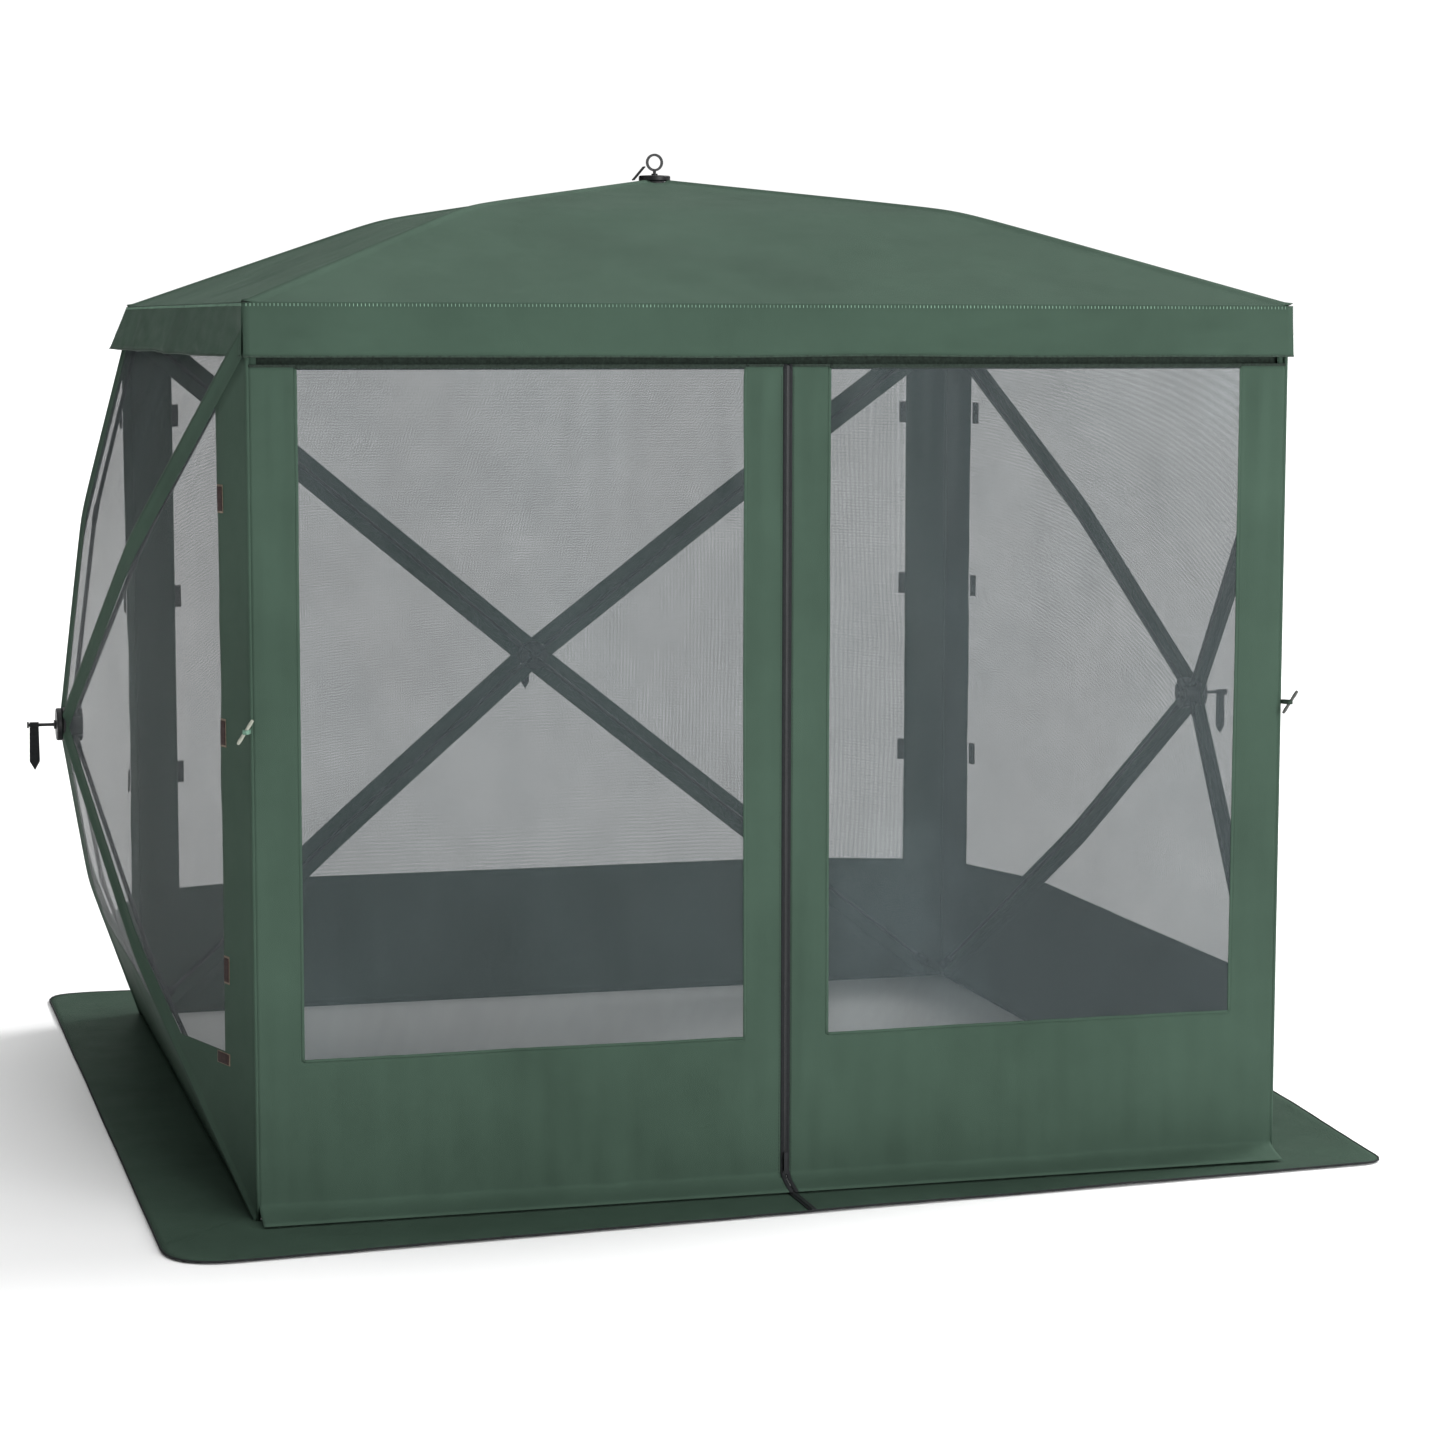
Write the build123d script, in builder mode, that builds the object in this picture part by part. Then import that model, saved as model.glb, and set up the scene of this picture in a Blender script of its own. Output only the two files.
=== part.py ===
"""Pop-up screen house: three hub walls and a hub roof of bowed poles, with a zipped two-part door wall.

Millimetres, +Z up, +X to the right seen from the door, +Y towards the back wall.
The origin is on the ground, below the centre of the whole footprint.
"""
from build123d import *
import os
from math import atan2, cos, degrees, hypot, sin

os.makedirs("parts", exist_ok=True)

# ---- driving dimensions -------------------------------------------------
HALF = 1200.0  # centre of the tent to each wall
WALL_TOP = 1950.0  # top edge of the wall fabric, behind the valance
EAVE = 2000.0  # where the roof meets the valance
VALANCE_DROP = 124.0
VALANCE_FLARE = 48.0  # at the hub walls, which push it out
VALANCE_FLARE_FRONT = 14.0
WALL_RISE = 305.0  # how far a wall hub stands out from its wall's base plane
ROOF_RISE = 315.0
WALL_BOW = 35.0  # how far a wall pole bends outward at its middle
ROOF_BOW = 63.0
BEND_RADIUS = 1200.0  # rounding of that bend
CLOTH = 2.0  # thickness of fabric and mesh panels
PANEL_INNER = 96.0  # a panel's inner edge, clear of the hub as it pops through
PANEL_OUTER_GAP = 5.0
PANEL_GAP_HUB = 50.0  # panel to the pole's line at the hub, on a square face
PANEL_GAP_BASE = 70.0  # and at the base

SKIRT_THICK = 3.0
SKIRT_SIDE = 235.0
SKIRT_FRONT = 285.0
SKIRT_BACK = 345.0
SKIRT_CORNER = 95.0

HUB_R = 41.0
HUB_DEPTH = 48.0
PIVOT_R = 30.0  # pole pivot, out from the hub's axis
PIVOT_DEPTH = 28.0  # pole centreline, inward from the fabric
PIN_R = 2.5
PIN_HALF = 11.0
PIN_CLEARANCE = 0.1
TANG_THICK = 8.0
SLOT_WIDTH = 9.6
CAP_THICK = 15.0
STEM_R = 4.0
STEM_LENGTH = 66.0

POLE_R = 5.5
TIP_R = 8.0
FERRULE_R = 7.0
FERRULE_MID = 64.0
FERRULE_END = 38.0
TIP_LENGTH = 45.0
TANG_HEIGHT = 11.0
TANG_INSIDE = 12.0  # length of the tang inside the rod
ROD_START = 6.0  # from the hub's side to the rod
TIP_GAP = 68.0  # pole tip to the corner of its wall
POCKET_R = 13.0
POCKET_WALL = 2.5
POCKET_DEPTH = 44.0

STEM_END = 4.0  # the flange that keeps the pull on its stem
BAIL_HALF = 21.0
BAIL_DEPTH = 28.0
BAIL_REST = 2.0  # the loop of the back pull sits this far inside the end of the bail

STRAP_WIDTH = 25.0
STRAP_THICK = 2.6
STRAP_LENGTH = 112.0
STRAP_POINT = 22.0  # length of the pointed end
STRAP_LOOP_HALF = 11.0
STRAP_LOOP_R = 7.2
ROOF_STRAP_LENGTH = 44.0

POST_STRIP = 115.0  # door wall: fabric from the corner to the window
CENTRE_STRIP = 105.0  # door wall: fabric from the zip to the window
BAND_HEIGHT = 356.0  # fabric below every window
DOOR_TOP = 1869.0
DOOR_THICK = 3.0
DOOR_BOTTOM = 12.0
ZIP_HALF = 9.0
DOOR_HINGE_GAP = 8.0  # corner of the tent to the edge of a door
SEAM_R = 4.5
TOGGLE_R = 4.5
TOGGLE_LENGTH = 58.0
TOGGLE_HEIGHT = 1085.0
LOOP_SIZE = (16.0, 5.0, 14.0)
SLIDER_HEIGHT = 46.0  # its middle, above the ground, with the door closed

# The footprint runs from the front of the skirt to the back wall's pull.
BACK_REACH = HALF + WALL_RISE - 1 + CAP_THICK + STEM_LENGTH + STEM_END - BAIL_REST + STRAP_LOOP_R
CENTRE_Y = (HALF + SKIRT_FRONT - BACK_REACH) / 2

# ---- faces: origin at the centre of the base plane, local z outward, local y up the wall ----
FACES = {
    "left": Plane(origin=(-HALF, CENTRE_Y, WALL_TOP / 2), x_dir=(0, -1, 0), z_dir=(-1, 0, 0)),
    "back": Plane(origin=(0, CENTRE_Y + HALF, WALL_TOP / 2), x_dir=(-1, 0, 0), z_dir=(0, 1, 0)),
    "right": Plane(origin=(HALF, CENTRE_Y, WALL_TOP / 2), x_dir=(0, 1, 0), z_dir=(1, 0, 0)),
    "roof": Plane(origin=(0, CENTRE_Y, EAVE), x_dir=(1, 0, 0), z_dir=(0, 0, 1)),
}
RISE = {"left": WALL_RISE, "back": WALL_RISE, "right": WALL_RISE, "roof": ROOF_RISE}
BOW = {"left": WALL_BOW, "back": WALL_BOW, "right": WALL_BOW, "roof": ROOF_BOW}
HALF_HEIGHT = {"left": WALL_TOP / 2, "back": WALL_TOP / 2, "right": WALL_TOP / 2, "roof": HALF}
# the sides of a face: name, direction from the hub towards the side's base edge
SIDES = {
    "left": {"top": (0, 1), "bottom": (0, -1), "front": (1, 0), "rear": (-1, 0)},
    "back": {"top": (0, 1), "bottom": (0, -1), "left": (1, 0), "right": (-1, 0)},
    "right": {"top": (0, 1), "bottom": (0, -1), "rear": (1, 0), "front": (-1, 0)},
    "roof": {"rear": (0, 1), "front": (0, -1), "right": (1, 0), "left": (-1, 0)},
}
# the corners of a face: name, signs of local x and y
CORNERS = {
    "left": {"top_front": (1, 1), "top_rear": (-1, 1), "foot_front": (1, -1), "foot_rear": (-1, -1)},
    "back": {"top_left": (1, 1), "top_right": (-1, 1), "foot_left": (1, -1), "foot_right": (-1, -1)},
    "right": {"top_rear": (1, 1), "top_front": (-1, 1), "foot_rear": (1, -1), "foot_front": (-1, -1)},
    "roof": {"front_right": (1, -1), "front_left": (-1, -1), "rear_right": (1, 1), "rear_left": (-1, 1)},
}


def depth(face, t):
    """How far the fabric stands out, t from 0 at the base edge to 1 at the hub; it bends at the middle."""
    return RISE[face] * t + BOW[face] * (1 - abs(2 * t - 1))


def save(part, name):
    part.label = name
    export_step(part, f"parts/{name}.step")


# ---- fabric panels: one between each pair of poles -----------------------
def make_panel(face, side):
    plane = FACES[face]
    ax, ay = SIDES[face][side]
    reach = HALF_HEIGHT[face] if ay else HALF
    half_base = HALF if ay else HALF_HEIGHT[face]
    inner = PANEL_INNER
    outer = reach - PANEL_OUTER_GAP
    outward = plane.x_dir * ax + plane.y_dir * ay
    section = Plane(origin=plane.origin, x_dir=outward, z_dir=outward.cross(plane.z_dir))

    def profile(below):
        return [(r, depth(face, 1 - r / reach) - below) for r in (inner, reach / 2, outer)]

    # the side edges stay clear of their neighbours at mid-travel
    spread = half_base / reach
    wide = (outer - PANEL_GAP_BASE) * spread
    narrow = (inner - PANEL_GAP_HUB) * spread
    outline = [(-narrow, inner), (narrow, inner), (wide, outer), (-wide, outer)]
    corners = [(ay * w + ax * a, -ax * w + ay * a) for w, a in outline]
    with BuildPart() as panel:
        with BuildSketch(section):
            with BuildLine():
                top = FilletPolyline(*profile(0), radius=BEND_RADIUS)
                bottom = FilletPolyline(*profile(CLOTH), radius=BEND_RADIUS)
                Line(top @ 0, bottom @ 0)
                Line(top @ 1, bottom @ 1)
            make_face()
        extrude(amount=half_base, both=True)
        with BuildSketch(plane):
            with BuildLine():
                Polyline(*corners, close=True)
            make_face()
        extrude(amount=2 * RISE[face], both=True, mode=Mode.INTERSECT)
    save(panel.part, f"{face}_panel_{side}")


# ---- poles: bowed fibreglass rods with a tang, a mid ferrule and a tip cap -----------------
def pole_frame(face, corner):
    """The pole's own plane (local x out from the hub, local y outward) and its reach."""
    plane = FACES[face]
    sx, sy = CORNERS[face][corner]
    reach = hypot(HALF, HALF_HEIGHT[face])
    along = (plane.x_dir * (sx * HALF) + plane.y_dir * (sy * HALF_HEIGHT[face])) / reach
    return Plane(origin=plane.origin, x_dir=along, z_dir=along.cross(plane.z_dir)), reach


def pole_level(face, r, reach):
    return depth(face, 1 - r / reach) - PIVOT_DEPTH


def make_pole(face, corner):
    frame, reach = pole_frame(face, corner)
    pivot = (PIVOT_R, RISE[face] - PIVOT_DEPTH)
    bend = (reach / 2, pole_level(face, reach / 2, reach))
    tip = (reach - TIP_GAP, pole_level(face, reach - TIP_GAP, reach))
    slope = atan2(bend[1] - pivot[1], bend[0] - pivot[0])
    root_length = HUB_R + ROD_START - PIVOT_R
    root = (pivot[0] + cos(slope) * root_length, pivot[1] + sin(slope) * root_length)
    tang_length = root_length + TANG_INSIDE
    with BuildPart() as pole:
        with BuildLine(frame):
            rod = FilletPolyline(root, bend, tip, radius=BEND_RADIUS)
        with BuildSketch(Plane(origin=rod @ 0, z_dir=rod % 0)):
            Circle(POLE_R)
        sweep(path=rod)
        with BuildSketch(Plane(origin=rod @ 0.5, z_dir=rod % 0.5)):
            Circle(FERRULE_R)
        extrude(amount=FERRULE_MID / 2, both=True)
        with BuildSketch(Plane(origin=rod @ 1, z_dir=rod % 1)):
            Circle(TIP_R)
        extrude(amount=-TIP_LENGTH)
        with BuildSketch(Plane(origin=rod @ 0, z_dir=rod % 0)):
            Circle(FERRULE_R)
        extrude(amount=FERRULE_END)
        with BuildSketch(frame):
            with Locations((pivot[0] + cos(slope) * tang_length / 2, pivot[1] + sin(slope) * tang_length / 2)):
                Rectangle(tang_length, TANG_HEIGHT, rotation=degrees(slope))
            with Locations(pivot):
                Circle(TANG_HEIGHT / 2)
        extrude(amount=TANG_THICK / 2, both=True)
        with BuildSketch(frame):
            with Locations(pivot):
                Circle(PIN_R + PIN_CLEARANCE)
        extrude(amount=TANG_THICK, both=True, mode=Mode.SUBTRACT)
    save(pole.part, f"{face}_pole_{corner}")


# ---- hubs ---------------------------------------------------------------
def make_hub_inner(face):
    """The moulded body on the inside of the fabric, slotted for the four pole tangs."""
    plane = FACES[face]
    top = RISE[face] - 1
    with BuildPart() as hub:
        with BuildSketch(plane.offset(top)):
            Circle(HUB_R)
        extrude(amount=-HUB_DEPTH)
        rim = hub.edges().filter_by(GeomType.CIRCLE)
        fillet(rim, radius=3)
        for corner in CORNERS[face]:
            frame, _ = pole_frame(face, corner)
            with BuildSketch(frame):
                with Locations((PIVOT_R + 22, top - 14 - HUB_DEPTH / 2)):
                    Rectangle(80, HUB_DEPTH)
            extrude(amount=SLOT_WIDTH / 2, both=True, mode=Mode.SUBTRACT)
            with BuildSketch(frame):
                with Locations((PIVOT_R, RISE[face] - PIVOT_DEPTH)):
                    Circle(PIN_R)
            extrude(amount=PIN_HALF, both=True, mode=Mode.SUBTRACT)
    save(hub.part, f"{face}_hub_body")


def make_hub_pins(face):
    with BuildPart() as pins:
        for corner in CORNERS[face]:
            frame, _ = pole_frame(face, corner)
            with BuildSketch(frame):
                with Locations((PIVOT_R, RISE[face] - PIVOT_DEPTH)):
                    Circle(PIN_R)
            extrude(amount=PIN_HALF, both=True)
    save(pins.part, f"{face}_hub_pins")


def make_hub_cap(face):
    """The outer disc that clamps the fabric, with the stem that the pull hangs from."""
    plane = FACES[face]
    base = RISE[face] - 1
    stem_top = base + CAP_THICK + STEM_LENGTH
    with BuildPart() as cap:
        with BuildSketch(plane.offset(base)):
            Circle(HUB_R - 1)
        extrude(amount=CAP_THICK)
        fillet(cap.edges().group_by(SortBy.LENGTH)[-1], radius=4)
        if face == "roof":
            ring_height = base + CAP_THICK + 33
            with BuildSketch(plane.offset(base + CAP_THICK)):
                Circle(STEM_R + 4)
            extrude(amount=5)
            with BuildSketch(plane.offset(base + CAP_THICK)):
                Circle(STEM_R)
            extrude(amount=14)
            ring_frame = Plane(origin=plane.origin, x_dir=plane.x_dir, z_dir=-plane.y_dir)
            with BuildSketch(ring_frame):
                with Locations((0, ring_height)):
                    Circle(22)
                    Circle(16, mode=Mode.SUBTRACT)
            extrude(amount=3, both=True)
        else:
            with BuildSketch(plane.offset(base + CAP_THICK)):
                Rectangle(20, 20)
            extrude(amount=5)
            with BuildSketch(plane.offset(base + CAP_THICK)):
                Circle(STEM_R)
            extrude(amount=STEM_LENGTH if face != "back" else STEM_LENGTH + STEM_END - BAIL_DEPTH + 2)
            if face == "back":
                # a flat bail, so that this pull hangs facing the same way as the others
                with BuildSketch(Plane(origin=plane.origin, z_dir=(0, 0, 1))):
                    with Locations((0, stem_top + STEM_END - BAIL_DEPTH / 2)):
                        Rectangle(2 * BAIL_HALF, BAIL_DEPTH)
                        Rectangle(2 * BAIL_HALF - 10, BAIL_DEPTH - 8, mode=Mode.SUBTRACT)
                extrude(amount=3, both=True)
            else:
                with BuildSketch(plane.offset(stem_top)):
                    Circle(STEM_R + 4)
                extrude(amount=STEM_END)
    save(cap.part, f"{face}_hub_cap")


def make_strap(face):
    """A webbing pull: a sewn loop round the stem and a tongue with a pointed end."""
    plane = FACES[face]
    if face == "roof":
        # runs down from the ring to the left, over the ridge of the roof
        anchor = plane.origin + Vector(-27, 0, RISE[face] - 1 + CAP_THICK + 22)
        slope = Plane(origin=anchor, x_dir=(0, 1, 0), z_dir=(0.76, 0, -0.65))
        with BuildPart() as strap:
            with BuildSketch(slope):
                with Locations((0, -ROOF_STRAP_LENGTH / 2)):
                    Rectangle(STRAP_WIDTH, ROOF_STRAP_LENGTH)
            extrude(amount=STRAP_THICK / 2, both=True)
        save(strap.part, "roof_pull_strap")
        return
    stem_top = RISE[face] - 1 + CAP_THICK + STEM_LENGTH
    out = stem_top + STEM_END - BAIL_REST if face == "back" else stem_top - STRAP_LOOP_HALF - 2
    centre = plane.origin + plane.z_dir * out
    across = Plane(origin=centre, x_dir=(0, 1, 0), z_dir=(1, 0, 0))
    flat = Plane(origin=centre, x_dir=(1, 0, 0), z_dir=(0, -1, 0))
    half = STRAP_LOOP_HALF
    with BuildPart() as strap:
        with BuildSketch(across):
            Circle(STRAP_LOOP_R)
        extrude(amount=half, both=True)
        with BuildSketch(flat):
            with BuildLine():
                Polyline(
                    (-half, 0), (half, 0), (STRAP_WIDTH / 2, STRAP_POINT - STRAP_LENGTH),
                    (0, -STRAP_LENGTH), (-STRAP_WIDTH / 2, STRAP_POINT - STRAP_LENGTH), close=True,
                )
            make_face()
        extrude(amount=STRAP_THICK / 2, both=True)
        with BuildSketch(across):
            Circle(STEM_R + 0.6)
        extrude(amount=STRAP_WIDTH, both=True, mode=Mode.SUBTRACT)
    save(strap.part, f"{face}_pull_strap")


# ---- root fabric --------------------------------------------------------
GROUND = Plane(origin=(0, CENTRE_Y, 0))


def make_pockets():
    """A webbing cup at every corner of every face, which a pole's tip floats in."""
    with BuildPart() as pockets:
        for face in FACES:
            for corner in CORNERS[face]:
                frame, reach = pole_frame(face, corner)
                far = reach - TIP_GAP + 3
                near = far - POCKET_DEPTH
                far_level, near_level = pole_level(face, far, reach), pole_level(face, near, reach)
                origin = frame.origin + frame.x_dir * near + frame.y_dir * near_level
                along = frame.x_dir * (far - near) + frame.y_dir * (far_level - near_level)
                mouth = Plane(origin=origin, z_dir=along)
                with BuildSketch(mouth):
                    Circle(POCKET_R)
                extrude(amount=POCKET_DEPTH + POCKET_WALL)
                with BuildSketch(mouth):
                    Circle(POCKET_R - POCKET_WALL)
                extrude(amount=POCKET_DEPTH, mode=Mode.SUBTRACT)
    save(pockets.part, "pole_pockets")


def make_binding():
    """The bound corner seams, and the frieze that joins the walls to the roof behind the valance."""
    with BuildPart() as binding:
        with BuildSketch(GROUND.offset(SKIRT_THICK)):
            with GridLocations(2 * HALF, 2 * HALF, 2, 2):
                Circle(SEAM_R)
        extrude(amount=WALL_TOP - SKIRT_THICK)
        with BuildSketch(GROUND.offset(WALL_TOP + 2)):
            Rectangle(2 * HALF + 8, 2 * HALF + 8)
            Rectangle(2 * HALF + 2, 2 * HALF + 2, mode=Mode.SUBTRACT)
        extrude(amount=EAVE - WALL_TOP - 8)
        with BuildSketch(GROUND.offset(DOOR_TOP + 3)):
            with Locations((0, -HALF)):
                Rectangle(2 * HALF - 24, 4)
        extrude(amount=WALL_TOP - DOOR_TOP - 1)
    save(binding.part, "wall_binding")


def make_valance():
    low = EAVE - VALANCE_DROP
    inner = 2 * HALF + 14
    low_x = inner + 2 * VALANCE_FLARE
    low_y = inner + VALANCE_FLARE + VALANCE_FLARE_FRONT
    shift = (VALANCE_FLARE - VALANCE_FLARE_FRONT) / 2
    with BuildPart() as valance:
        for thick, mode in ((2 * DOOR_THICK, Mode.ADD), (0, Mode.SUBTRACT)):
            with BuildSketch(GROUND.offset(low)):
                with Locations((0, shift)):
                    Rectangle(low_x + thick, low_y + thick)
            with BuildSketch(GROUND.offset(EAVE)):
                Rectangle(inner + thick, inner + thick)
            loft(mode=mode)
    save(valance.part, "valance")


def make_skirt():
    depth_y = 2 * HALF + SKIRT_FRONT + SKIRT_BACK
    shift = (SKIRT_BACK - SKIRT_FRONT) / 2
    with BuildPart() as skirt:
        with BuildSketch(GROUND):
            with Locations((0, shift)):
                RectangleRounded(2 * (HALF + SKIRT_SIDE), depth_y, SKIRT_CORNER)
            Rectangle(2 * HALF, 2 * HALF, mode=Mode.SUBTRACT)
        extrude(amount=SKIRT_THICK)
    save(skirt.part, "ground_skirt")


def make_toggles():
    """A tie-back at each front corner: a webbing loop and a toggle stick."""
    with BuildPart() as toggles:
        for side in (-1, 1):
            root = Vector(side * (HALF + 4), CENTRE_Y - HALF - 4, TOGGLE_HEIGHT)
            out = Vector(side, -1, 0).normalized()
            with BuildSketch(Plane(origin=root + out * 11, z_dir=(0.1 * side, 0, 1))):
                Rectangle(LOOP_SIZE[0], LOOP_SIZE[1], rotation=-45 * side)
            extrude(amount=LOOP_SIZE[2] / 2, both=True)
            with BuildSketch(Plane(origin=root + out * 23, z_dir=(0.55, 0, 0.83))):
                Circle(TOGGLE_R)
            extrude(amount=TOGGLE_LENGTH / 2, both=True)
    save(toggles.part, "tie_back_toggles")


# ---- door wall ----------------------------------------------------------
def make_door(side, name):
    face = Plane(origin=(0, CENTRE_Y - HALF, 0), x_dir=(1, 0, 0), z_dir=(0, -1, 0))
    hinge = HALF - DOOR_HINGE_GAP
    zip_edge = ZIP_HALF + 0.5
    middle = side * (hinge + zip_edge) / 2
    height = DOOR_TOP - DOOR_BOTTOM
    win_left, win_right = CENTRE_STRIP, HALF - POST_STRIP
    win_middle = side * (win_left + win_right) / 2
    with BuildPart() as frame:
        with BuildSketch(face.offset(-DOOR_THICK / 2)):
            with Locations((middle, DOOR_BOTTOM + height / 2)):
                Rectangle(hinge - zip_edge, height)
            with Locations((win_middle, (BAND_HEIGHT + DOOR_TOP + 10) / 2)):
                Rectangle(win_right - win_left, DOOR_TOP + 10 - BAND_HEIGHT, mode=Mode.SUBTRACT)
        extrude(amount=DOOR_THICK)
    save(frame.part, f"door_frame_{name}")
    with BuildPart() as mesh:
        with BuildSketch(face.offset(-CLOTH / 2)):
            with Locations((win_middle, (BAND_HEIGHT + DOOR_TOP) / 2)):
                Rectangle(win_right - win_left, DOOR_TOP - BAND_HEIGHT)
        extrude(amount=CLOTH)
    save(mesh.part, f"door_mesh_{name}")
    with BuildPart() as tape:
        with BuildSketch(face.offset(-DOOR_THICK / 2)):
            with Locations((side * (ZIP_HALF + 1.5) / 2, DOOR_BOTTOM + height / 2)):
                Rectangle(zip_edge - 1, height)
        extrude(amount=DOOR_THICK)
    save(tape.part, f"zip_tape_{name}")


def make_slider():
    front = Plane(origin=(0, CENTRE_Y - HALF - DOOR_THICK / 2 - 0.5, 0), x_dir=(1, 0, 0), z_dir=(0, -1, 0))
    with BuildPart() as slider:
        with BuildSketch(front):
            with Locations((0, SLIDER_HEIGHT)):
                Trapezoid(13, 20, 80)
        extrude(amount=6)
        with BuildSketch(front.offset(6)):
            with Locations((0, SLIDER_HEIGHT + 20)):
                SlotOverall(44, 8, rotation=90)
        extrude(amount=2.4)
    save(slider.part, "zip_slider")


for face in FACES:
    for side in SIDES[face]:
        make_panel(face, side)
    for corner in CORNERS[face]:
        make_pole(face, corner)
    make_hub_inner(face)
    make_hub_pins(face)
    make_hub_cap(face)
    make_strap(face)
make_pockets()
make_binding()
make_valance()
make_skirt()
make_toggles()
make_door(-1, "left")
make_door(1, "right")
make_slider()
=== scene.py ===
"""Looks of the pop-up screen house: green polyester, dark insect mesh, black hubs, poles and webbing.

Metres, in the frame of the CAD model: +Z up, the door wall towards -Y, the origin on the ground.
"""
import math

import bpy
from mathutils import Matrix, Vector, noise


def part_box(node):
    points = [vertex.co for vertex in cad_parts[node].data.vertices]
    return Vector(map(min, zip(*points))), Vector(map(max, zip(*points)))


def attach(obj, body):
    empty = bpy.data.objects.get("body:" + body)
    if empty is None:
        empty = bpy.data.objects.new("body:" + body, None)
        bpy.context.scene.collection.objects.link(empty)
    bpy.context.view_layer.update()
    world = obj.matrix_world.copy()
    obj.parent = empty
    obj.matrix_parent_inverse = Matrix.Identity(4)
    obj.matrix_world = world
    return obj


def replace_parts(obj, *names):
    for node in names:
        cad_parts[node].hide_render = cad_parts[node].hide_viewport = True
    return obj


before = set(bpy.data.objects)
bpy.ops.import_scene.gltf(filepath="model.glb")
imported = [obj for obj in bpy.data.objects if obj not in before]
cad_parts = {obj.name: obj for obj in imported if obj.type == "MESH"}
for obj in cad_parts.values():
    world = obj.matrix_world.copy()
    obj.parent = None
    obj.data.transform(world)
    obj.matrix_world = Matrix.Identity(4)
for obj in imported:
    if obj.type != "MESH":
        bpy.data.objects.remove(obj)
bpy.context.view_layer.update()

# ---- sizes, from the frame -------------------------------------------------
SEAM_R = 0.0045  # bound corner seam
bind_low, bind_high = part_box("wall_binding")
HALF = bind_high[0] - SEAM_R
MID_Y = (bind_low[1] + bind_high[1]) / 2
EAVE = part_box("valance")[1][2]
VALANCE_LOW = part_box("valance")[0][2]
hub_low, hub_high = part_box("left_hub_body")
HALF_WALL = (hub_low[2] + hub_high[2]) / 2
WALL_TOP = 2 * HALF_WALL
WALL_RISE = -hub_low[0] - HALF + 0.001
ROOF_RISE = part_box("roof_hub_body")[1][2] - EAVE + 0.001
DOOR_LOW, DOOR_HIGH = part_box("door_frame_left")
DOOR_FOOT = DOOR_LOW[2]
SKIRT_LOW, SKIRT_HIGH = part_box("ground_skirt")
WALL_BOW = 0.035  # how far a pole bends outward at its middle
ROOF_BOW = 0.063
BAND = 0.040  # half width of the fabric bands over the poles
STRIP = 0.115  # hub walls: fabric from the corner to the window
STRIP_FRONT = 0.150  # and at the corners of the door wall
WINDOW_NEAR = 0.097  # doors: from the zip to the window
WINDOW_FAR = {"left": HALF - 0.104, "right": HALF - 0.115}
BAND_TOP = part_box("door_mesh_left")[0][2]  # hub walls and doors: fabric from the ground to the window
FRONT_Y = MID_Y - HALF
CLOTH = 0.0012  # thickness of the fabric
BEND = 0.07  # rounding of the bend at the middle of the poles
HUB_HOLE = 0.030  # half width of the opening round a hub
ROOF_LIP = 0.008  # the roof ends this far outside the walls

GREEN = (0.047, 0.078, 0.058)
NET_DARK = (0.042, 0.056, 0.060)
BLACK = (0.008, 0.009, 0.010)


# ---- materials --------------------------------------------------------------
def new_material(name):
    mat = bpy.data.materials.new(name)
    mat.use_nodes = True
    nodes = mat.node_tree.nodes
    nodes.clear()
    shader = nodes.new("ShaderNodeBsdfPrincipled")
    out = nodes.new("ShaderNodeOutputMaterial")
    mat.node_tree.links.new(shader.outputs[0], out.inputs["Surface"])
    return mat, mat.node_tree, shader


def add_node(tree, kind, **sockets):
    node = tree.nodes.new(kind)
    for key, value in sockets.items():
        node.inputs[key.replace("_", " ")].default_value = value
    return node


def place_coords(tree, source, scale=(1, 1, 1)):
    coords = tree.nodes.new("ShaderNodeTexCoord")
    mapping = tree.nodes.new("ShaderNodeMapping")
    mapping.inputs["Scale"].default_value = scale
    tree.links.new(coords.outputs[source], mapping.inputs["Vector"])
    return mapping.outputs["Vector"]


def noise_value(tree, coords, scale, detail=3.0, roughness=0.5):
    tex = add_node(tree, "ShaderNodeTexNoise", Scale=scale, Detail=detail, Roughness=roughness)
    tree.links.new(coords, tex.inputs["Vector"])
    return tex.outputs["Fac"]


def ramp(tree, value, stops):
    node = tree.nodes.new("ShaderNodeValToRGB")
    tree.links.new(value, node.inputs["Fac"])
    elements = node.color_ramp.elements
    while len(elements) < len(stops):
        elements.new(0.5)
    for element, (position, colour) in zip(elements, stops):
        element.position = position
        element.color = (*colour, 1) if len(colour) == 3 else colour
    return node.outputs["Color"]


def math_node(tree, operation, a, b=None):
    node = tree.nodes.new("ShaderNodeMath")
    node.operation = operation
    for index, value in enumerate((a, b)):
        if value is None:
            continue
        if isinstance(value, (int, float)):
            node.inputs[index].default_value = value
        else:
            tree.links.new(value, node.inputs[index])
    return node.outputs[0]


def scaled(tree, value, factor, plus):
    """value * factor + plus; plus may be a number or another socket."""
    return math_node(tree, "ADD", math_node(tree, "MULTIPLY", value, factor), plus)


def sine_pair(tree, size):
    """Sines across and along the flat coordinates that every cloth piece carries."""
    coords = place_coords(tree, "UV", (1 / size[0], 1 / size[1], 1))
    split = tree.nodes.new("ShaderNodeSeparateXYZ")
    tree.links.new(coords, split.inputs[0])
    return [math_node(tree, "SINE", math_node(tree, "MULTIPLY", split.outputs[k], math.pi)) for k in (0, 1)]


def paint(tree, shader, value, stops):
    tree.links.new(ramp(tree, value, stops), shader.inputs["Base Color"])


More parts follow.
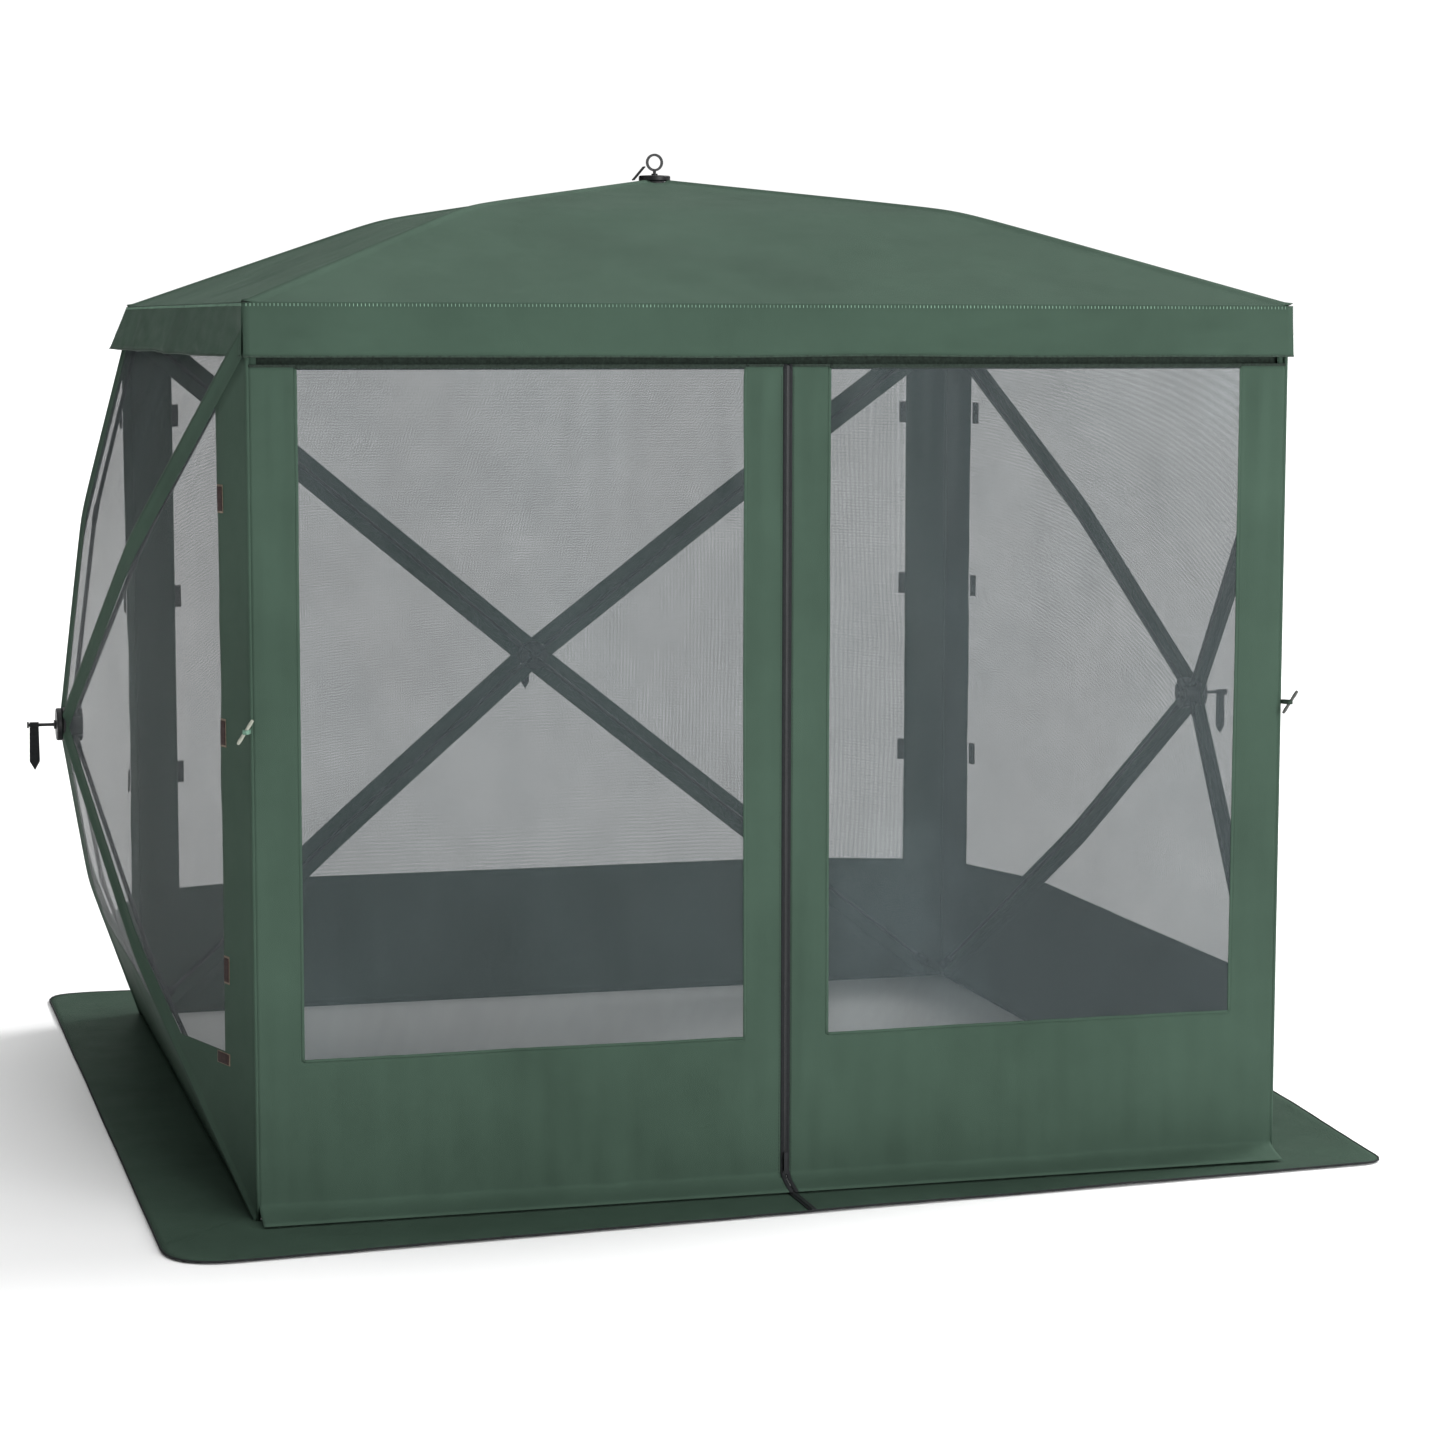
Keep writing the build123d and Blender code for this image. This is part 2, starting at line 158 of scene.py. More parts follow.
def add_bump(tree, shader, height, strength, distance):
    bump = add_node(tree, "ShaderNodeBump", Strength=strength, Distance=distance)
    tree.links.new(height, bump.inputs["Height"])
    tree.links.new(bump.outputs["Normal"], shader.inputs["Normal"])


def tone(colour, factor):
    return tuple(channel * factor for channel in colour)


def weave_height(tree, pitch):
    """A plain weave: crossed threads."""
    across, along = sine_pair(tree, (pitch, pitch))
    return math_node(tree, "MULTIPLY", across, along)


def fabric_material(name, colour, pitch=0.0011, rough=0.52):
    """Coated polyester: a fine weave, slight creasing and a faint uneven tone."""
    mat, tree, shader = new_material(name)
    space = place_coords(tree, "Object")
    cloud = noise_value(tree, space, 2.6, 5.0, 0.62)
    paint(tree, shader, cloud, [(0.28, tone(colour, 0.86)), (0.5, colour), (0.74, tone(colour, 1.13))])
    shine = noise_value(tree, space, 9.0, 4.0, 0.6)
    tree.links.new(scaled(tree, shine, 0.22, rough - 0.11), shader.inputs["Roughness"])
    shader.inputs["Specular IOR Level"].default_value = 0.02
    crease = noise_value(tree, place_coords(tree, "Object", (1, 1, 0.35)), 13.0, 7.0, 0.66)
    add_bump(tree, shader, scaled(tree, weave_height(tree, pitch), 0.10, crease), 0.55, 0.006)
    return mat


def net_material(name, colour, cover=0.60, pitch=0.0022):
    """Insect mesh: crossed threads with holes between them."""
    mat, tree, shader = new_material(name)
    space = place_coords(tree, "Object")
    glare = noise_value(tree, place_coords(tree, "Object", (1, 1, 0.6)), 2.2, 4.0, 0.6)
    paint(tree, shader, glare, [(0.35, tone(colour, 0.75)), (0.6, colour), (0.78, tone(colour, 1.5))])
    shader.inputs["Roughness"].default_value = 0.5
    shader.inputs["Specular IOR Level"].default_value = 0.2
    # both changes have a mean of nothing, so that cover stays the share of light that the threads stop
    threads = math_node(tree, "ABSOLUTE", weave_height(tree, pitch))
    holes = math_node(tree, "MULTIPLY", math_node(tree, "SUBTRACT", threads, 0.405), -0.55)
    cloud = noise_value(tree, space, 5.0, 3.0)
    uneven = math_node(tree, "MULTIPLY", math_node(tree, "SUBTRACT", cloud, 0.5), 0.10)
    alpha = math_node(tree, "ADD", math_node(tree, "ADD", holes, uneven), cover)
    tree.links.new(alpha, shader.inputs["Alpha"])
    return mat


def webbing_material(name, colour):
    """Flat ribbed webbing."""
    mat, tree, shader = new_material(name)
    rib, step = sine_pair(tree, (0.0016, 0.0032))
    fuzz = noise_value(tree, place_coords(tree, "Object"), 160.0, 3.0)
    paint(tree, shader, fuzz, [(0.3, tone(colour, 0.7)), (0.75, tone(colour, 1.5))])
    shader.inputs["Roughness"].default_value = 0.82
    shader.inputs["Specular IOR Level"].default_value = 0.25
    add_bump(tree, shader, scaled(tree, step, 0.5, rib), 0.5, 0.0004)
    return mat


def moulded_material(name, colour, rough=0.42, grain=900.0, strength=0.12):
    """Moulded plastic with a fine grain, a little worn and dusty."""
    mat, tree, shader = new_material(name)
    space = place_coords(tree, "Object")
    cloud = noise_value(tree, space, 28.0, 5.0, 0.6)
    paint(tree, shader, cloud, [(0.35, tone(colour, 0.8)), (0.72, tone(colour, 1.5))])
    shader.inputs["Specular IOR Level"].default_value = 0.3
    wear = noise_value(tree, space, 70.0, 4.0)
    tree.links.new(scaled(tree, wear, 0.3, rough - 0.15), shader.inputs["Roughness"])
    add_bump(tree, shader, noise_value(tree, space, grain, 2.0), strength, 0.0004)
    return mat


def metal_material(name, colour, rough=0.3):
    """Brushed metal."""
    mat, tree, shader = new_material(name)
    space = place_coords(tree, "Object", (1, 1, 12))
    brushed = noise_value(tree, space, 240.0, 3.0)
    paint(tree, shader, brushed, [(0.3, tone(colour, 0.8)), (0.7, colour)])
    tree.links.new(scaled(tree, brushed, 0.2, rough - 0.1), shader.inputs["Roughness"])
    shader.inputs["Metallic"].default_value = 1.0
    return mat


MAT = {
    "cloth": fabric_material("polyester_green", GREEN),
    "roof": fabric_material("polyester_green_roof", tone(GREEN, 1.06), rough=0.5),
    "skirt": fabric_material("polyester_green_skirt", tone(GREEN, 0.92), rough=0.55),
    "net": net_material("insect_mesh", NET_DARK),
    "webbing": webbing_material("black_webbing", BLACK),
    "binding": webbing_material("bound_edge", tone(GREEN, 0.62)),
    "black_edge": webbing_material("black_bound_edge", tone(BLACK, 1.2)),
    "door": fabric_material("polyester_green_door", GREEN),
    # the doors' top hems and the door wall's header: green darkened to 0.3 as painted shade under the valance
    "header": webbing_material("door_header_painted_shade", tone(GREEN, 0.3)),
    "window_edge": fabric_material("window_binding", tone(GREEN, 1.1), pitch=0.0008),
    "seam": fabric_material("sewn_corner", GREEN),
    "hub": moulded_material("black_nylon", BLACK),
    "pole": moulded_material("dark_fibreglass", tone(BLACK, 1.3), rough=0.34, grain=300.0, strength=0.05),
    "steel": metal_material("steel_pin", (0.55, 0.55, 0.56)),
    "zip": moulded_material("zip_coil", tone(BLACK, 1.1), rough=0.38, grain=1400.0),
    "zip_metal": metal_material("zip_slider_metal", (0.035, 0.036, 0.038), 0.4),
    "thread": moulded_material("stitch_thread", tone(GREEN, 3.0), rough=0.7),
    "dark_thread": moulded_material("stitch_thread_dark", tone(GREEN, 0.35), rough=0.75),
    "hook": webbing_material("hook_and_loop", (0.030, 0.017, 0.015)),
    "hook_edge": webbing_material("hook_and_loop_edge", (0.15, 0.12, 0.09)),
    "toggle": moulded_material("toggle_stick", (0.24, 0.25, 0.21), 0.45, 120.0, 0.2),
    "toggle_dark": moulded_material("toggle_stick_dark", (0.06, 0.062, 0.058), 0.45, 120.0, 0.2),
    "loop": webbing_material("toggle_loop", (0.11, 0.20, 0.15)),
    "loop_dark": webbing_material("toggle_loop_dark", tone(GREEN, 0.5)),
}


# ---- making pieces ----------------------------------------------------------
def mesh_object(name, verts, faces, uvs, material, body, slot, thick=0.0, smooth=True):
    """A piece from points, faces and one flat coordinate per point, in metres."""
    mesh = bpy.data.meshes.new(name)
    mesh.from_pydata([tuple(v) for v in verts], [], faces)
    layer = mesh.uv_layers.new(name="flat")
    for loop in mesh.loops:
        layer.data[loop.index].uv = uvs[loop.vertex_index]
    mesh.polygons.foreach_set("use_smooth", [smooth] * len(mesh.polygons))
    mesh.materials.append(material)
    obj = bpy.data.objects.new(name, mesh)
    bpy.context.scene.collection.objects.link(obj)
    if thick:
        solid = obj.modifiers.new("cloth", "SOLIDIFY")
        solid.thickness = thick
        solid.offset = 0.0
    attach(obj, body)
    return obj


class Patchwork:
    """Collects grids of points into one mesh."""

    def __init__(self):
        self.verts, self.faces, self.uvs = [], [], []

    def grid(self, rows, cols, point, flip=False):
        """point(i, j), with i and j from 0 to 1, gives a place and its flat coordinate."""
        start = len(self.verts)
        for i in range(rows + 1):
            for j in range(cols + 1):
                place, uv = point(i / rows, j / cols)
                self.verts.append(Vector(place))
                self.uvs.append(uv)
        for i in range(rows):
            for j in range(cols):
                a = start + i * (cols + 1) + j
                quad = (a, a + 1, a + cols + 2, a + cols + 1)
                self.faces.append(tuple(reversed(quad)) if flip else quad)

    def lattice(self, lines, cell, point):
        """A grid with shared points: lines[i][j] are flat places, cell(i, j) says which cells are filled."""
        index = {}

        def corner(i, j):
            if (i, j) not in index:
                index[i, j] = len(self.verts)
                place, uv = point(*lines[i][j])
                self.verts.append(Vector(place))
                self.uvs.append(uv)
            return index[i, j]

        for i in range(len(lines) - 1):
            for j in range(len(lines[i]) - 1):
                quad = [(i, j), (i, j + 1), (i + 1, j + 1), (i + 1, j)]
                spots = []
                for k, m in quad:
                    if not spots or lines[k][m] != lines[spots[-1][0]][spots[-1][1]]:
                        spots.append((k, m))
                if lines[spots[0][0]][spots[0][1]] == lines[spots[-1][0]][spots[-1][1]]:
                    spots.pop()
                if len(spots) > 2 and cell(i, j):
                    self.faces.append(tuple(corner(k, m) for k, m in reversed(spots)))

    def tube(self, path, radius, sides=8, closed=False):
        """A round tube along a path."""
        start = len(self.verts)
        count = len(path)
        along = 0.0
        for i, centre in enumerate(path):
            before = path[i - 1] if (i or closed) else path[0]
            after = path[(i + 1) % count] if (i < count - 1 or closed) else path[-1]
            tangent = (Vector(after) - Vector(before)).normalized()
            side = tangent.cross(Vector((0.31, 0.17, 0.93))).normalized()
            up = side.cross(tangent)
            if i:
                along += (Vector(centre) - Vector(path[i - 1])).length
            for k in range(sides):
                angle = 2 * math.pi * k / sides
                self.verts.append(Vector(centre) + radius * (math.cos(angle) * side + math.sin(angle) * up))
                self.uvs.append((k / sides * 2 * math.pi * radius, along))
        for i in range(count if closed else count - 1):
            for k in range(sides):
                a = start + i * sides + k
                b = start + i * sides + (k + 1) % sides
                c = start + ((i + 1) % count) * sides + (k + 1) % sides
                d = start + ((i + 1) % count) * sides + k
                self.faces.append((a, b, c, d))
        if not closed:
            self.faces.append(tuple(start + k for k in reversed(range(sides))))
            self.faces.append(tuple(start + (count - 1) * sides + k for k in range(sides)))

    def block(self, centre, axes, half):
        """A small box: centre, three unit axes, three half sizes."""
        start = len(self.verts)
        for sx in (-1, 1):
            for sy in (-1, 1):
                for sz in (-1, 1):
                    offset = axes[0] * sx * half[0] + axes[1] * sy * half[1] + axes[2] * sz * half[2]
                    self.verts.append(Vector(centre) + offset)
                    self.uvs.append((sx * half[0], sy * half[1]))
        for quad in ((0, 1, 3, 2), (4, 6, 7, 5), (0, 4, 5, 1), (2, 3, 7, 6), (0, 2, 6, 4), (1, 5, 7, 3)):
            self.faces.append(tuple(start + k for k in quad))

    def make(self, name, material, body, slot, **options):
        return mesh_object(name, self.verts, self.faces, self.uvs, MAT[material], body, slot, **options)


def ripple(x, y, z, scale, amount):
    return amount * noise.noise(Vector((x * scale, y * scale, z * scale)))


# ---- the hub faces ------------------------------------------------------------
class Face:
    """A hub wall or the roof: a base rectangle, and the bowed surface over it."""

    def __init__(self, name, origin, across, up, half_height, rise, bow):
        self.name = name
        self.origin, self.across, self.up = Vector(origin), Vector(across), Vector(up)
        self.out = self.across.cross(self.up)
        self.half_height, self.rise, self.bow = half_height, rise, bow

    def climb(self, u, v):
        """0 at the base rectangle's edge, 1 at the hub."""
        return max(0.0, 1 - max(abs(u) / HALF, abs(v) / self.half_height))

    def lift(self, u, v):
        """Two straight slopes with a rounded bend at the middle ferrules."""
        t = self.climb(u, v)
        bend = math.hypot(1, BEND) - math.hypot(2 * t - 1, BEND)
        return self.rise * t + self.bow * bend / (math.hypot(1, BEND) - BEND)

    def crease(self, u, v):
        """Slack in the cloth: pulled folds near the corners, slight puckers elsewhere; none at the hub."""
        t = self.climb(u, v)
        if t <= 0:
            return 0.0
        ridge = abs(abs(u) / HALF - abs(v) / self.half_height)
        slack = 0.0060 * ridge * min(1.0, t * 8) * (1 - t)
        soft = noise.noise(Vector((u * 2.1 + 7.3, v * 2.1, self.rise * 11)))
        fine = noise.noise(Vector((u * 9.0, v * 9.0 + 3.1, self.bow * 90)))
        return slack * (1.5 * soft + 0.8 * fine) - 0.006 * ridge * min(1.0, t * 6) * (1 - t)

    def point(self, u, v, raised=0.0):
        height = self.lift(u, v) + self.crease(u, v) + raised
        return self.origin + self.across * u + self.up * v + self.out * height

    def pole_ridge(self, gap):
        """The sleeve's round back over its pole, for a distance from the pole's line."""
        return 0.006 * math.exp(-((gap / 0.011) ** 2))


FACES = {
    "left": Face("left", (-HALF, MID_Y, HALF_WALL), (0, -1, 0), (0, 0, 1), HALF_WALL, WALL_RISE, WALL_BOW),
    "back": Face("back", (0, MID_Y + HALF, HALF_WALL), (-1, 0, 0), (0, 0, 1), HALF_WALL, WALL_RISE, WALL_BOW),
    "right": Face("right", (HALF, MID_Y, HALF_WALL), (0, 1, 0), (0, 0, 1), HALF_WALL, WALL_RISE, WALL_BOW),
    "roof": Face("roof", (0, MID_Y, EAVE), (1, 0, 0), (0, 1, 0), HALF, ROOF_RISE, ROOF_BOW),
}
SIDES = {
    "left": {"top": (0, 1), "bottom": (0, -1), "front": (1, 0), "rear": (-1, 0)},
    "back": {"top": (0, 1), "bottom": (0, -1), "left": (1, 0), "right": (-1, 0)},
    "right": {"top": (0, 1), "bottom": (0, -1), "rear": (1, 0), "front": (-1, 0)},
    "roof": {"rear": (0, 1), "front": (0, -1), "right": (1, 0), "left": (-1, 0)},
}


class Panel:
    """The triangle of a face between two poles; a is the distance from the hub, w runs along the base."""

    def __init__(self, face, side):
        self.face, self.side = face, side
        self.ax, self.ay = SIDES[face.name][side]
        self.reach = face.half_height if self.ay else HALF
        self.slope = (HALF if self.ay else face.half_height) / self.reach
        self.tilt = 1 / math.hypot(1, self.slope)

    def uv(self, w, a):
        return self.ay * w + self.ax * a, -self.ax * w + self.ay * a

    def edge(self, a):
        return self.slope * a

    def inner(self, a):
        """Half width of the window at a, inside the bands over the poles."""
        return max(0.0, self.slope * a - BAND / self.tilt)

    def start(self):
        """Where the window begins, going out from the hub."""
        return BAND / self.tilt / self.slope

    def place(self, w, a):
        """The point of the surface, with the round back of the sleeve, and its flat coordinate."""
        u, v = self.uv(w, a)
        return self.face.point(u, v, self.face.pole_ridge((self.edge(a) - abs(w)) * self.tilt)), (w, a)

    def lines(self, stops, zones, counts):
        """Rows of flat places: stops are distances from the hub, zones the borders across each row."""
        rows = []
        for a in stops:
            borders = [zone(a) for zone in zones]
            row = []
            for low, high, count in zip(borders, borders[1:], counts):
                row += [(low + (high - low) * k / count, a) for k in range(count)]
            rows.append(row + [(borders[-1], a)])
        return rows


def steps(*stops):
    """Evenly divided runs: distance, count, distance, count, distance."""
    values = [stops[0]]
    for low, count, high in zip(stops[::2], stops[1::2], stops[2::2]):
        values += [low + (high - low) * (k + 1) / count for k in range(count)]
    return values


def make_roof_panel(side):
    panel = Panel(FACES["roof"], side)
    work = Patchwork()
    end = panel.reach + ROOF_LIP
    # finer near the two poles, where the sleeve's back rises
    zones = [lambda a, share=share: share * panel.edge(a) for share in (-1, -0.8, 0.8, 1)]
    rows = panel.lines(steps(HUB_HOLE, 80, end), zones, (18, 50, 18))
    work.lattice(rows, lambda i, j: True, panel.place)
    body = f"roof_panel_{side}"
    gore = work.make(f"roof_gore_{side}", "roof", body, "fabric", thick=CLOTH)
    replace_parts(gore, body)


def make_wall_panel(name, side):
    """Bands over the poles, strips at the corners and the foot in cloth; the window between them in mesh."""
    panel = Panel(FACES[name], side)
    edge, inner, reach = panel.edge, panel.inner, panel.reach
    drop = HALF_WALL - BAND_TOP  # from the hub down to the foot band
    first = panel.start()
    end = {"top": reach, "bottom": drop, "front": reach - STRIP_FRONT}.get(side, reach - STRIP)
    low_side = 0 if side in ("top", "bottom") else panel.ax
    window_low = (lambda a: max(-inner(a), -drop)) if low_side < 0 else (lambda a: -inner(a))
    window_high = (lambda a: min(inner(a), drop)) if low_side > 0 else inner
    zones = [lambda a: -edge(a), lambda a: -inner(a), window_low, window_high, inner, edge]
    counts = (8, 8, 40, 8, 8)
    net_columns = range(sum(counts[:2]), sum(counts[:3]))
    # the distance at which a side panel's window meets the foot band
    turn = drop / panel.slope + BAND / panel.tilt / panel.slope
    stops = [HUB_HOLE, 6, first]
    if low_side and turn < end:
        stops += [36, turn, 16, end]
    else:
        stops += [50, end]
    if end < reach:
        stops += [14, reach]
    distances = steps(*stops)
    rows = panel.lines(distances, zones, counts)

    def in_window(i, j):
        middle = (distances[i] + distances[i + 1]) / 2
        return first < middle < end and j in net_columns

    body = f"{name}_panel_{side}"
    net, cloth = Patchwork(), Patchwork()
    net.lattice(rows, in_window, panel.place)
    cloth.lattice(rows, lambda i, j: not in_window(i, j), panel.place)
    web = net.make(f"{name}_net_{side}", "net", body, "mesh")
    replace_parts(web, body)
    bands = cloth.make(f"{name}_cloth_{side}", "cloth", body, "fabric", thick=CLOTH)
    base, height = 2 * edge(reach), reach * 1.05


for side in SIDES["roof"]:
    make_roof_panel(side)
for name in ("left", "back", "right"):
    for side in SIDES[name]:
        make_wall_panel(name, side)


# ---- valance ------------------------------------------------------------------
VALANCE_OUT = HALF + ROOF_LIP
FLARE = 0.044
DROP = EAVE - VALANCE_LOW - 0.010
STITCH_ROW = 0.04  # share of the drop
STITCH_STEP = 0.0085


def flare_along(side, s):
    """How far the lower edge stands out; s runs from the front (or the left) to the rear (or the right)."""
    if side == "front":
        return 0.010
    if side == "back":
        return FLARE
    rise = min(1.0, max(0.0, (s + VALANCE_OUT) / 0.42))
    return 0.003 + (FLARE - 0.003) * rise * rise * (3 - 2 * rise)


def valance_point(side, s, down):
    """A point of the valance: s along the side, down from 0 at the eave to 1 at the hem."""
    out = flare_along(side, s) * down
    wave = down * (ripple(s, 3.0, down * 0.3, 3.1, 0.010) + ripple(s, 9.0, down * 0.5, 11.0, 0.0050))
    wave += math.sin(math.pi * down) * ripple(s, down * 0.4, 17.0, 7.0, 0.006)
    pulled = max(0.0, 1 - (VALANCE_OUT - abs(s)) / 0.7)
    wave += 0.012 * pulled * down * noise.noise(Vector((abs(s) * 16 + down * 2.6, down * 1.1, 21.0)))
    near_end = min(1.0, (VALANCE_OUT - abs(s)) / 0.12)
    out += wave * max(0.12, near_end)
    height = EAVE - down * DROP + 0.004 * down * noise.noise(Vector((s * 2.3, len(side), 4.0)))
    # the sides widen with the flare of their neighbours at the rear corners
    s = s * (1 + down * FLARE / VALANCE_OUT) if side == "back" else s
    if side in ("left", "right") and s > 0:
        s += down * FLARE * (s / VALANCE_OUT) ** 4
    if side in ("left", "right") and s < -0.8 * VALANCE_OUT:
        s += 0.010 * down * down
    if side == "front":
        return Vector((s, MID_Y - VALANCE_OUT - out, height))
    if side == "back":
        return Vector((s, MID_Y + VALANCE_OUT + out, height))
    sign = -1 if side == "left" else 1
    return Vector((sign * (VALANCE_OUT + out), MID_Y + s, height))


def make_valance():
    """Four sides in one cloth, with a corded hem and a row of stitches under the eave."""
    cloth, hem, stitches = Patchwork(), Patchwork(), Patchwork()
    for index, side in enumerate(("front", "left", "back", "right")):
        flip = side in ("front", "right")

        def point(i, j):
            s = -VALANCE_OUT + 2 * VALANCE_OUT * j
            return valance_point(side, s, i), (s + index * 3, i * DROP)

        cloth.grid(10, 150, point, flip=not flip)
        path = [valance_point(side, -VALANCE_OUT + 2 * VALANCE_OUT * k / 120, 1.0) for k in range(121)]
        hem.tube(path, 0.0022, sides=6)
        for k in range(int(2 * VALANCE_OUT / STITCH_STEP) - 2):
            s = -VALANCE_OUT + (k + 1) * STITCH_STEP
            here, there = valance_point(side, s, STITCH_ROW), valance_point(side, s + 0.004, STITCH_ROW)
            along = (there - here).normalized()
            down = (valance_point(side, s, 2 * STITCH_ROW) - here).normalized()
            out = along.cross(down).normalized()
            if out.dot(here - Vector((0, MID_Y, here.z))) < 0:
                out = -out
            stitches.block(here + out * 0.0010, (along, down, out), (0.0008, 0.0030, 0.0004))
    skirt = cloth.make("valance_cloth", "cloth", "shell", "fabric", thick=CLOTH)
    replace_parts(skirt, "valance")
    hem.make("valance_hem", "binding", "shell", "fabric")
    stitches.make("valance_stitches", "thread", "shell", "fabric", smooth=False)


# ---- frieze and corner seams ------------------------------------------------------
JAMB = 0.020  # width of the strips behind the doors' hinge edges
HEADER_OVERLAP = 0.012  # the door wall's header goes this far down behind the doors


def make_binding():
    """The strip that joins the walls to the roof, and the sewn corners of the walls."""
    strip, seams, header = Patchwork(), Patchwork(), Patchwork()
    out = HALF + 0.002
    inner = -HALF + 0.014  # the front strip lies behind the doors
    corners = [(-out, inner), (out, inner), (out, out), (-out, out), (-out, inner)]
    for index, (a, b) in enumerate(zip(corners, corners[1:])):
        low = DOOR_HIGH[2] - HEADER_OVERLAP if index == 0 else WALL_TOP - 0.006

        def point(i, j):
            x, y = a[0] + (b[0] - a[0]) * j, a[1] + (b[1] - a[1]) * j
            z = low + (EAVE - 0.004 - low) * i
            return (x, MID_Y + y, z), (j * 2 * out + 3 * index, z)

        (header if index == 0 else strip).grid(4, 60, point)
    for x, y in corners[:4]:
        shift = HALF - 0.002
        x, y = math.copysign(shift, x), MID_Y + math.copysign(shift, y)
        seams.tube([(x, y, WALL_TOP * k / 24 + 0.003) for k in range(25)], SEAM_R, sides=8)
        if y < MID_Y:
            # a jamb strip behind the hinge edge of the door
            def jamb(i, j, x=x, y=y):
                place = (x - math.copysign(JAMB * j, x), y + 0.004, DOOR_FOOT + (WALL_TOP - DOOR_FOOT) * i)
                return place, (JAMB * j, place[2])

            strip.grid(60, 2, jamb)
    frieze = strip.make("wall_frieze", "cloth", "shell", "fabric", thick=CLOTH)
    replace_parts(frieze, "wall_binding")
    # the header's dark colour is painted shade under the valance
    front = header.make("door_wall_header", "header", "shell", "fabric", thick=CLOTH)
    seams.make("corner_seams", "seam", "shell", "fabric")


# ---- ground skirt ---------------------------------------------------------------------
SKIRT_CORNERS = (  # corner, rounding; the cloth lies a little askew
    ((-1.430, MID_Y - 1.520), 0.150),
    ((1.432, MID_Y - 1.332), 0.060),
    ((1.520, MID_Y - 0.20), 0.90),
    ((1.465, SKIRT_HIGH[1]), 0.150),
    ((-1.440, SKIRT_HIGH[1]), 0.110),
)
SKIRT_RINGS = 14


def skirt_outline():
    """The outer edge, rounded at the corners, as points all the way round."""
    points = []
    for k, (corner, radius) in enumerate(SKIRT_CORNERS):
        corner = Vector(corner)
        before = Vector(SKIRT_CORNERS[k - 1][0])
        after = Vector(SKIRT_CORNERS[(k + 1) % len(SKIRT_CORNERS)][0])
        start = corner + (before - corner).normalized() * min(radius, (before - corner).length * 0.48)
        end = corner + (after - corner).normalized() * min(radius, (after - corner).length * 0.48)
        for i in range(13):
            f = i / 12
            points.append((1 - f) ** 2 * start + 2 * f * (1 - f) * corner + f * f * end)
    return points


def resample(points, count):
    """Evenly spaced points along a closed outline."""
    lengths = [0.0]
    ring = points + [points[0]]
    for a, b in zip(ring, ring[1:]):
        lengths.append(lengths[-1] + (b - a).length)
    result, k = [], 0
    for i in range(count):
        target = lengths[-1] * i / count
        while lengths[k + 1] < target:
            k += 1
        f = (target - lengths[k]) / (lengths[k + 1] - lengths[k])
        result.append(ring[k] + (ring[k + 1] - ring[k]) * f)
    return result


def wall_foot(point):
    """The nearest point of the wall's base line, on the line from the outer edge to the tent's middle."""
    x, y = point[0], point[1] - MID_Y
    scale = HALF / max(abs(x), abs(y))
    return Vector((x * scale, MID_Y + y * scale))


def skirt_height(x, y, f):
    """The skirt rises a little where it is sewn to the wall, and waves slightly at its edge."""
    wave = 0.0035 * (1 + noise.noise(Vector((x * 2.2, y * 2.2, 1.0)))) * f
    fine = 0.0012 * noise.noise(Vector((x * 11, y * 11, 5.0)))
    root = 0.004 * (1 - f) ** 3
    return 0.0032 + root + max(0.0, wave + fine * f)


def make_skirt():
    """A ring of cloth from the walls' foot to the outline, with a bound edge."""
    cloth, edge = Patchwork(), Patchwork()
    outline = resample(skirt_outline(), 480)
    count, rings = len(outline), SKIRT_RINGS
    for k, outer in enumerate(outline):
        foot = wall_foot(outer)
        reach = (outer - foot).length
        for i in range(rings + 1):
            f = i / rings
            place = foot + (outer - foot) * f
            cloth.verts.append(Vector((place.x, place.y, skirt_height(place.x, place.y, f))))
            cloth.uvs.append((k * 0.025, f * reach))
    for k in range(count):
        for i in range(rings):
            a = k * (rings + 1) + i
            b = ((k + 1) % count) * (rings + 1) + i
            cloth.faces.append((a, a + 1, b + 1, b))
    rim = [Vector((p.x, p.y, skirt_height(p.x, p.y, 1.0))) for p in outline]
    edge.tube(rim, 0.0024, sides=6, closed=True)
    skirt = cloth.make("skirt_cloth", "skirt", "shell", "fabric", thick=CLOTH)
    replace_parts(skirt, "ground_skirt")
    edge.make("skirt_edge", "black_edge", "shell", "fabric")


# ---- door wall ----------------------------------------------------------------------
DOOR_HEM = 0.006  # edge above the windows, painted dark as the shade under the valance
FOOT_FLAP = 0.075  # the doors' foot turns outward by this much
FOOT_TURN = 0.030  # over this height
EDGE_HALF = 0.0035  # half width of the windows' binding
TAPE = (0.0016, 0.0105)  # the zip tape's edges, out from the zip's middle
ZIP_PITCH = 0.0042
X, Y, Z = Vector((1, 0, 0)), Vector((0, 1, 0)), Vector((0, 0, 1))


